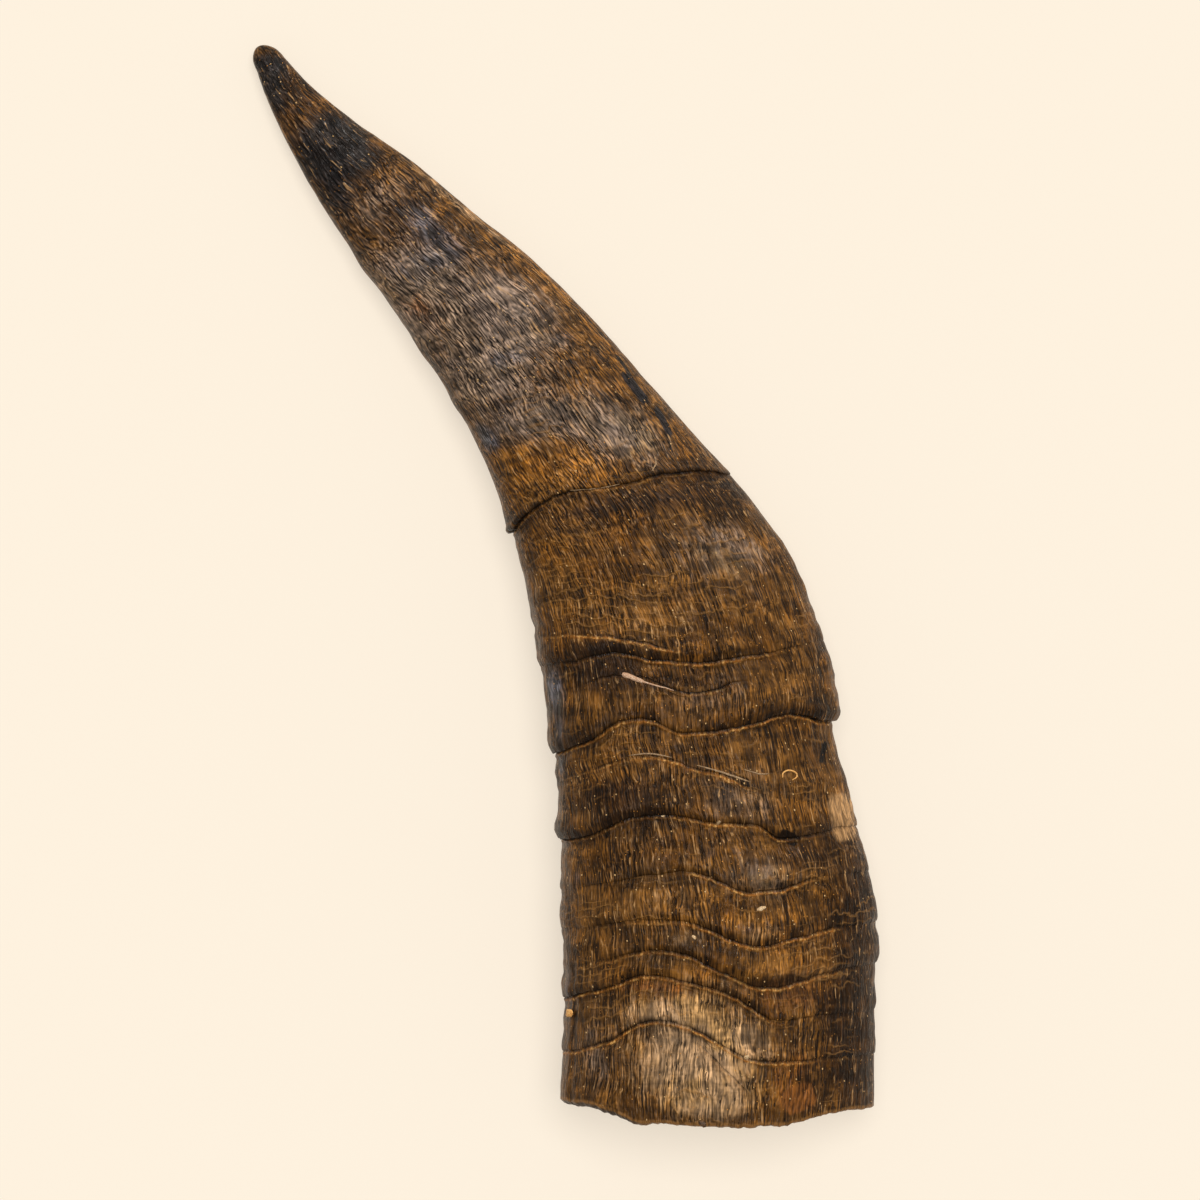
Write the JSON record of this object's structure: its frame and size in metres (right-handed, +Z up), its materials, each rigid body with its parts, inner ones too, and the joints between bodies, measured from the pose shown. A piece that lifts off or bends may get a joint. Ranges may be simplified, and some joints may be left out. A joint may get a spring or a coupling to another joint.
{
  "type": "goat horn",
  "caption": "Hollow, curved goat horn sheath with raised growth ledges, a blunt tip and a ragged open base, lying on its side.",
  "frame": {"origin": "middle of the bounding box in plan, on the surface that the horn rests on", "axes": "+Z up, away from that surface; -Y out of the open base; +Y toward the tip, which leans to -X; +X on the bulging front side of the curve"},
  "size_m": [0.1254, 0.2152, 0.0378],
  "materials": {
    "keratin": "satin"
  },
  "bodies": {
    "root": {"horn": "keratin"}
  },
  "joints": []
}
